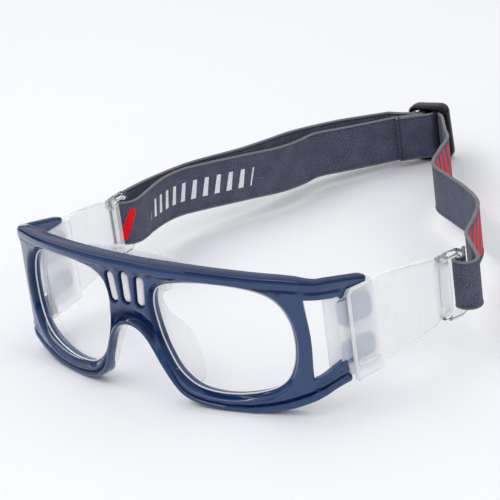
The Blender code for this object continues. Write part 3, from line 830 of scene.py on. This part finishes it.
def build_temple(side, sign, material):
    """Flexible side arm, one piece from the fork on the frame to the sleeve of the ring."""
    outer_depth, inner_depth = -1.8, 4.8
    sleeve = []
    for radius, start, stop, count in ((SLEEVE_RADIUS, 204.0, 490.0, 28), (1.5, 488.0, 190.0, 22)):
        for a in np.radians(np.linspace(start, stop, count)):
            sleeve.append((SLEEVE_AT + radius * math.cos(a),
                           TEMPLE_THICKNESS / 2.0 + radius * math.sin(a)))
    # (s, depth) profile: outer fork, outer face with two shallow ribs, sleeve, inner face, fork
    profile = [(80.9, outer_depth + 0.5), (81.3, outer_depth + 0.1), (82.0, outer_depth),
               (91.0, outer_depth), (92.4, outer_depth + 0.2), (94.2, -0.6),
               (95.2, 0.0), (96.2, 0.0), (96.5, -0.22), (97.3, -0.22), (97.6, 0.0), (100.0, 0.0),
               (104.0, 0.0), (108.6, 0.0), (108.9, -0.22), (110.4, -0.22), (110.7, 0.0)]
    profile += [(s, 0.0) for s in (112.0, 115.0, 118.0, 119.6)] + sleeve
    profile += [(s, TEMPLE_THICKNESS)
                for s in (119.8, 118.0, 115.0, 112.0, 108.0, 104.0, 100.0, 97.0, 95.0)]
    profile += [(94.4, 3.0), (93.0, inner_depth - 0.2), (91.8, inner_depth), (75.0, inner_depth),
                (74.6, inner_depth - 0.5), (75.0, 3.3), (91.9, 3.3), (92.2, 3.0),
                (92.2, 0.0), (91.9, -0.3), (80.9, -0.3)]
    s, depth = np.array(profile).T
    low, high = (np.interp(s, *np.transpose(edge)) for edge in (TEMPLE_BOTTOM, TEMPLE_TOP))
    # rows of (share of the height, lift); the lifts round the rims
    rows = [(0.0, 0.0), (0.0, 0.35)] + [(share, 0.0) for share in TEMPLE_ROWS]
    rows += [(1.0, -0.35), (1.0, 0.0)]
    z = np.array([low + (high - low) * share + lift for share, lift in rows])
    points = on_frame(np.broadcast_to(s * sign, z.shape), depth, z)
    piece = tube_piece("temple_arm_" + side, points, False, material)
    start, end = (tuple(world(on_frame(at * sign, 1.0, 20.0))) for at in BEND_SPAN)
    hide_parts("temple_clip_" + side, "temple_" + side)
    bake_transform(piece)


# ---- rings

def build_ring(side, sign, material):
    """Clear rod loop with rounded corners."""
    middle = TEMPLE_THICKNESS / 2.0
    box = (SLEEVE_AT, SLEEVE_AT + 9.0, 12.9, 34.0)
    corner, rod = 2.6, 1.42
    turn = circle(24)
    path = []
    for k in range(4):
        centre = (box[0] + corner if k in (0, 3) else box[1] - corner,
                  box[2] + corner if k in (0, 1) else box[3] - corner)
        for a in np.radians(np.linspace(180.0 + 90.0 * k, 270.0 + 90.0 * k, 13)):
            path.append((centre[0] + corner * math.cos(a), centre[1] + corner * math.sin(a), a))
    at, height, heading = np.array(path).T[..., None]
    out = rod * np.cos(turn)
    points = on_frame((at + out * np.cos(heading)) * sign, middle + rod * np.sin(turn),
                      height + out * np.sin(heading))
    piece = tube_piece("clear_ring_" + side, points, True, material)
    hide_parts("strap_ring_" + side)
    belongs(piece, "ring_" + side)
    for k, height in enumerate((14.6, 32.9)):
        rod_along("ring_knuckle_" + side + "_" + str(k + 1),
                  [(SLEEVE_AT * sign, middle, height + lift) for lift in (-2.2, 0.0, 2.2)],
                  2.35, material, "ring_" + side, 20)


# ---- strap

EYE_RIGHT = [(69.4, 89.6), (72.2, 84.6), (73.4, 79.6), (74.4, 76.6), (76.8, 75.5), (79.5, 75.8),
             (81.1, 78.4), (80.2, 82.2), (76.6, 86.6), (72.2, 91.2)]
EYE_LEFT = [(-86.9, 91.0), (-85.0, 84.6), (-82.4, 78.8), (-79.8, 75.8), (-76.8, 75.4),
            (-74.4, 76.6), (-73.5, 80.0), (-74.8, 85.0), (-77.6, 91.0)]
RUN_RIGHT = [(72.2, 91.2), (67.0, 96.4), (61.0, 103.4), (54.6, 117.0), (45.4, 132.8),
             (31.6, 145.4), (17.1, 155.4), (1.6, 166.7), (-8.3, 184.3), (-16.5, 201.4),
             (-25.3, 212.2), (-31.86, 220.3)]
RUN_OUTER = [(-86.9, 91.0), (-88.4, 103.0), (-88.8, 118.0), (-87.6, 132.0), (-83.6, 152.0),
             (-82.6, 169.0), (-81.8, 184.0), (-76.0, 203.5), (-69.6, 215.6), (-63.62, 225.4)]
RUN_INNER = [(-77.6, 91.0), (-82.6, 104.0), (-84.6, 115.0), (-82.8, 125.0), (-75.6, 145.0),
             (-70.0, 160.0), (-69.4, 172.0), (-70.6, 184.0), (-66.0, 195.0), (-61.2, 206.0),
             (-57.9, 214.3)]
WEAVE = [(-17.0, -3.6), (-12.5, -3.9), (-8.6, -3.4), (-5.3, -2.6), (-4.3, -0.8), (-4.25, 1.2),
         (-3.5, 3.4), (-1.8, 4.6), (0.0, 4.85), (1.8, 4.6), (3.5, 3.4), (4.25, 1.2),
         (4.3, -0.8), (5.3, -2.6), (7.4, -5.4), (9.8, -10.0), (12.6, -16.2)]
FOLD = [(-14.1, -15.7), (-11.5, -12.2), (-8.0, -8.8), (-4.6, -5.6), (-2.7, -2.8), (-2.35, 0.2),
        (-2.0, 2.2), (0.0, 2.85), (2.0, 2.2), (2.35, 0.2), (1.6, -3.2), (-0.6, -5.2),
        (-4.2, -8.2), (-7.6, -11.4), (-9.6, -13.4)]


def on_slider(u, v):
    """Plan point from a distance along the slider's plate and one out of it."""
    c, s = math.cos(SLIDER_HEADING), math.sin(SLIDER_HEADING)
    return SLIDER_AT[0] + u * c - v * s, SLIDER_AT[1] + u * s + v * c


def band_profile():
    """Cross-section of the band as (across, out): flat middle, rolled edges."""
    half, thin, roll = STRAP_WIDTH / 2.0, 0.5, 0.68
    right = [(half - roll + roll * math.cos(a), roll * math.sin(a))
             for a in np.radians(np.linspace(-150.0, 150.0, 13))]
    right += [(x, thin) for x in np.linspace(half - 1.9, -half + 1.9, 12)]
    return np.array(right + [(-x, -y) for x, y in right])


def band_mesh(name, route, first, last, widths, material, print_side):
    """Part of a band between two distances along its plan route, with its UV maps.

    print_side is 1 or -1 where the left or right face is printed, seen along the route.
    """
    length = distances_along(route)
    inner = length[(length > first + 0.05) & (length < last - 0.05)]
    at = np.concatenate([[first], inner, [last]])
    x, y = (np.interp(at, length, route[:, k]) for k in (0, 1))
    tangents = np.gradient(route, length, axis=0)
    tangent = unit(np.stack([np.interp(at, length, tangents[:, k]) for k in (0, 1)], axis=1))
    width = np.interp(at / length[-1], widths[0], widths[1]) / STRAP_WIDTH
    across, out = band_profile().T
    height = (STRAP_HEIGHT + STRAP_SLOPE * y)[:, None] + width[:, None] * across
    points = np.stack([x[:, None] - tangent[:, 1:] * out, y[:, None] + tangent[:, :1] * out,
                       height], axis=-1)
    piece = tube_piece(name, points, False, material, 60.0)
    vertex_uv(piece, "band", np.repeat(at, len(across)), np.tile(across, len(at)))
    printed = np.tile(np.where(out * print_side > 0.3, 1.0, 0.0), len(at))
    vertex_uv(piece, "face", printed, np.zeros(len(printed)))
    return piece


def build_run(name, points, side, cad_node, material, print_side):
    """A long run: it leaves the ring, crosses the temple's hinge and ends at the slider."""
    route = resample(smooth_curve(points, 14), 1.1)
    total = np.sum(step_lengths(route))
    widths = ((0.0, 0.25, 1.0), (STRAP_EYE_WIDTH, STRAP_WIDTH, STRAP_WIDTH))
    spans = (("ring_end", 0.0, 11.0, ("ring_" + side, "temple_" + side)),
             ("bend", 11.0, 0.62 * total, ("temple_" + side, "frame")),
             ("middle", 0.62 * total, total - 22.0, None),
             ("slider_end", total - 22.0, total, ("frame", "slider")))
    for label, first, last, bodies in spans:
        piece = band_mesh(name + "_" + label, route, first, last, widths, material,
                          print_side)
        if bodies:
            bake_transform(piece)
        else:
            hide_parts(cad_node)
            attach(piece, "frame")


def build_short(name, points, cad_node, body, width, material, print_side=0.0):
    """A short folded part of the band, on one body."""
    route = resample(smooth_curve(points, 12), 0.7)
    piece = band_mesh(name, route, 0.0, np.sum(step_lengths(route)), ((0.0, 1.0), (width, width)),
                      material, print_side)
    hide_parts(cad_node)
    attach(piece, body)


def build_strap():
    red, white = (0.90, 0.002, 0.006), (0.86, 0.87, 0.90)
    loop_bar = slanted_bars(14.0, 25.0, 11.0, 0.32, -0.40, -7.6, 6.0)
    dashes = slanted_bars(2.0, 60.0, 5.4, 0.38, -0.30, -3.8, 3.6)
    near_ring = slanted_bars(10.0, 50.0, 8.2, 0.52, -0.55, -7.6, 7.6)
    near_slider = slanted_bars(102.0, 146.0, 7.4, 0.50, 0.20, -7.6, 7.6)
    plain = webbing_material("webbing_plain")
    loop = webbing_material("webbing_left_loop", ((loop_bar, red),))
    inner = webbing_material("webbing_inner", ((dashes, white),))
    outer = webbing_material("webbing_outer", ((near_ring, red), (near_slider, red)))
    build_short("band_eye_right", EYE_RIGHT, "strap_eye_right", "ring_right",
                STRAP_EYE_WIDTH, plain)
    build_short("band_eye_left", EYE_LEFT, "strap_eye_left", "ring_left",
                STRAP_EYE_WIDTH, loop, -1.0)
    build_run("band_right", RUN_RIGHT, "right", "strap_right", outer, -1.0)
    build_run("band_outer", RUN_OUTER, "left", "strap_outer_left", plain, 0.0)
    build_run("band_inner", RUN_INNER, "left", "strap_inner_left", inner, -1.0)
    for name, local, cad_node in (("band_weave", WEAVE, "strap_weave"),
                                  ("band_fold", FOLD, "strap_fold")):
        route = [on_slider(u, v) for u, v in local]
        build_short(name, route, cad_node, "slider", STRAP_WIDTH, plain)


# ---- slider

def slider_rod(name, path, half_plane, half_depth, shift, closed, material):
    """Rounded bar through (u, z) points; its section's half width, half depth and shift back."""
    ahead = unit(np.roll(path, -1, axis=0) - np.roll(path, 1, axis=0) if closed
                 else np.gradient(path, axis=0))
    turn = circle(20)
    bulge, swell = (np.abs(wave) ** 0.75 * np.sign(wave) for wave in (np.cos(turn), np.sin(turn)))
    flat = half_plane[:, None] * bulge
    z = path[:, 1:] - ahead[:, :1] * flat
    u = path[:, :1] + ahead[:, 1:] * flat + SLIDER_LEAN * (SLIDER_MIDDLE - z)
    x, y = on_slider(u, shift + half_depth[:, None] * swell)
    piece = tube_piece(name, np.stack([x, y, z], axis=-1), closed, material)
    belongs(piece, "slider")
    return piece


def build_slider(material):
    """Three-bar slider: a rounded rim, deeper along its top and bottom, and a middle bar."""
    loop = resample(rounded_box((-7.7, 7.5, 1.15, 22.7), 3.0, 11), 0.45, True)
    level = blend(np.abs(loop[:, 1] - 11.8), 7.8, 10.2)
    rim = slider_rod("slider_rim", loop, 1.3 - 0.1 * level, 2.1 + 1.6 * level, 0.6, True,
                     material)
    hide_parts("strap_slider")
    bar = np.stack([np.zeros(40), np.linspace(1.0, 22.4, 40)], axis=1)
    slider_rod("slider_middle_bar", bar, np.full(40, 1.15), np.full(40, 1.35), 0.0, False, material)


def build_stitching(material):
    """Seam that holds the doubled end of the inner run: a thread dipping in and out."""
    before, end = (np.array(on_slider(u, v)) for u, v in FOLD[-2:])
    ahead = np.append((end - before) / np.linalg.norm(end - before), 0.0)
    out = np.array([-ahead[1], ahead[0], 0.0])
    rise = np.linspace(-9.3, 10.2, 140)
    dip = 0.50 + 0.30 * np.abs(np.sin(rise * math.pi / STITCH))
    sway = -0.9 + 0.22 * np.sin(rise * 1.7) + 0.10 * np.sin(rise * 4.1)
    foot = np.array([end[0], end[1], STRAP_HEIGHT + STRAP_SLOPE * end[1]])
    path = foot + dip[:, None] * out + sway[:, None] * ahead + rise[:, None] * (0.0, 0.0, 1.0)
    turn = circle(8)[:, None]
    ring = path[:, None] + THREAD_RADIUS * (ahead * np.cos(turn) + out * np.sin(turn))
    piece = tube_piece("seam_thread", ring, False, material)
    belongs(piece, "slider")


# ---- stage

CAMERA_TARGET = (25.78, 33.5, 43.1)
CAMERA_DISTANCE = 650.0
CAMERA_AZIMUTH, CAMERA_ELEVATION, CAMERA_ROLL = 43.05, 20.45, -7.6
CAMERA_LENS = 144.63


def build_camera():
    azimuth, elevation = math.radians(CAMERA_AZIMUTH), math.radians(CAMERA_ELEVATION)
    back = Vector((math.sin(azimuth) * math.cos(elevation),
                   -math.cos(azimuth) * math.cos(elevation), math.sin(elevation)))
    data = bpy.data.cameras.new("camera")
    data.lens = CAMERA_LENS
    data.clip_start, data.clip_end = 0.01, 20.0
    camera = add_object("camera", data)
    camera.location = Vector(world(CAMERA_TARGET)) + back * CAMERA_DISTANCE * MM
    aim = (-back).to_track_quat("-Z", "Y").to_matrix().to_4x4()
    camera.rotation_euler = (aim @ Matrix.Rotation(math.radians(CAMERA_ROLL), 4, "Z")).to_euler()
    bpy.context.scene.camera = camera


def area_light(name, location, target, size, power):
    data = bpy.data.lights.new(name, "AREA")
    data.shape = "RECTANGLE"
    data.size, data.size_y = size
    data.energy = power
    light = add_object(name, data)
    light.location = location
    aim = Vector(target) - Vector(location)
    light.rotation_euler = aim.to_track_quat("-Z", "Y").to_euler()


def build_stage():
    made, tree, shader = new_material("pale_floor")
    tone = ramp(tree, object_noise(tree, 3.0), 0.3, 0.7, (0.865, 0.870, 0.890),
                (0.880, 0.884, 0.902))
    feed(tree, shader, {"Base Color": tone, "Roughness": 0.6, "Specular IOR Level": 0.2})
    bpy.ops.mesh.primitive_plane_add(size=8.0)
    floor = bpy.context.active_object
    floor.name = "floor"
    floor.data.materials.append(made)
    background = bpy.data.worlds.new("studio")
    background.use_nodes = True
    tree = background.node_tree
    up = node(tree, "SeparateXYZ",
              {"Vector": node(tree, "TexCoord").outputs["Generated"]}).outputs["Z"]
    sky = ramp(tree, up, 0.12, 0.8, (0.13, 0.14, 0.17), (0.825, 0.83, 0.848))
    band = sky.node.color_ramp.elements.new(0.24)
    band.color = (0.82, 0.83, 0.85, 1.0)
    feed(tree, tree.nodes["Background"], {"Color": sky, "Strength": 1.0})
    bpy.context.scene.world = background
    bpy.context.scene.view_settings.view_transform = "Standard"
    area_light("key", (-0.25, 0.1, 1.0), (0.0, 0.0, 0.0), (1.4, 1.4), 1.9)
    area_light("strip", (-0.35, -0.5, 0.85), (0.0, 0.0, 0.03), (2.4, 0.05), 3.6)
    area_light("side_strip", (0.95, 0.15, 0.7), (0.06, 0.0, 0.03), (0.9, 0.05), 0.9)


def main():
    build_camera()
    build_stage()
    # navy plastic, with a painted shade colour for its grooves and recesses
    navy = frame_material("navy_plastic", (0.007, 0.040, 0.125), (0.010, 0.050, 0.155),
                          (0.0015, 0.012, 0.060))
    black = plastic_material("black_plastic", (0.0015, 0.0015, 0.002), (0.003, 0.003, 0.004),
                             (0.12, 0.2), 0.14, 0.1)
    frosted = frosted_material("frosted_temple", (0.93, 0.94, 0.955), (0.98, 0.983, 0.99),
                               0.36, 0.25, 0.0)
    film = frosted_material("frosted_film", (0.92, 0.93, 0.95), (0.97, 0.975, 0.985),
                            0.36, 0.20, 0.0)
    # more opaque frosted white for the lug web and the clip's rim; on the rim it is partly a
    # painted highlight along the rounded edge
    bead = frosted_material("frosted_web_and_edge_highlight", (0.93, 0.94, 0.955), (0.98, 0.985, 0.99),
                            0.28, 0.72, 0.3)
    silicone = frosted_material("silicone", (0.88, 0.885, 0.89), (0.94, 0.945, 0.945),
                                0.45, 0.15, 0.0)
    plug = frosted_material("silicone_plug", (0.74, 0.75, 0.755), (0.86, 0.865, 0.865),
                            0.25, 0.95, 0.2)
    # the lugs' pale blue-grey is painted haze: navy plastic lightened to stand in for light
    # scattered by the frosted clip in front
    lug_painted_haze = plastic_material("lugs_painted_haze", (0.22, 0.32, 0.48), (0.31, 0.41, 0.57), (0.3, 0.4))
    # opaque pale grey lens edge: a painted glint standing in for light caught in the clear lens
    # edge
    painted_edge_glint = plastic_material("lens_edge_painted_glint", (0.62, 0.64, 0.66), (0.80, 0.82, 0.84), (0.08, 0.14))
    opening = build_frame(navy)
    lens = lens_material()
    build_lens("right", opening, lens, painted_edge_glint)
    build_lens("left", mirrored(opening), lens, painted_edge_glint)
    build_pad(silicone, plug)
    rod = clear_material()
    for side, sign in (("right", 1.0), ("left", -1.0)):
        build_lugs(side, sign, lug_painted_haze, bead)
        build_clip_rims(side, sign, bead, film)
        build_temple(side, sign, frosted)
        build_ring(side, sign, rod)
    build_strap()
    build_slider(black)
    build_stitching(plastic_material("seam_thread", (0.022, 0.018, 0.017),
                                     (0.05, 0.042, 0.038), (0.7, 0.85)))


main()
